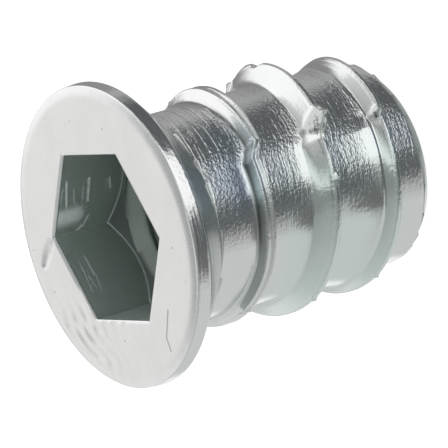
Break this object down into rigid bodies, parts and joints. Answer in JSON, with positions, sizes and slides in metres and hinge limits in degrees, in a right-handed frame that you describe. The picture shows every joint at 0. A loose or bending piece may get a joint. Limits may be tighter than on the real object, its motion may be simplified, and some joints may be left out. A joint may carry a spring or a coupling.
{
  "type": "threaded insert",
  "caption": "Flanged zinc insert for wood with a coarse outer thread, a hexagon drive socket in its flange face and a metric screw thread in its bore.",
  "frame": {"origin": "centre of the tip face, on the axis, so that the part stands on its tip end", "axes": "+Z along the axis, out of the flange face; two corners of the hexagon lie on the Y axis, and -Y is the side that the picture shows"},
  "size_m": [0.015, 0.015, 0.016],
  "materials": {
    "zinc_plate": "zinc plate over a zinc casting, satin on the flange face, streaky between the turns of the thread"
  },
  "bodies": {
    "root": {"insert_body": "zinc_plate"}
  },
  "joints": []
}
